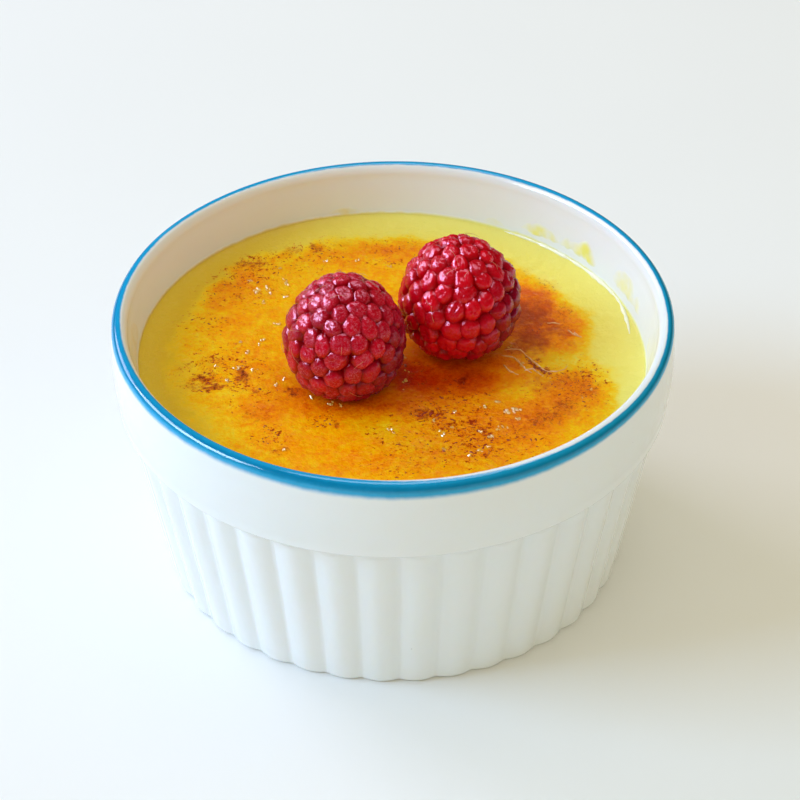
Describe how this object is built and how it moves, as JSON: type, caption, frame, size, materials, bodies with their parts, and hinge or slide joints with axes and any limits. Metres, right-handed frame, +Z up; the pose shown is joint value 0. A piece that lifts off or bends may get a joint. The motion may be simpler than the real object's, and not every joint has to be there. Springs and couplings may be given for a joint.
{
  "type": "creme brulee",
  "caption": "Fluted porcelain ramekin filled with baked custard under a scorched sugar skin, with fresh raspberries standing on it.",
  "frame": {"origin": "middle of the ramekin's foot, on the surface that it stands on", "axes": "+Z up through the middle of the dish; -Y towards the side that the raspberries lean nearest to, the front; +X to the right of the front"},
  "size_m": [0.093, 0.093, 0.0572],
  "materials": {
    "porcelain": "gloss",
    "custard": "satin",
    "raspberry": "satin"
  },
  "bodies": {
    "root": {"ramekin": "porcelain", "custard": "custard", "raspberry_left": "raspberry", "raspberry_right": "raspberry"}
  },
  "joints": []
}
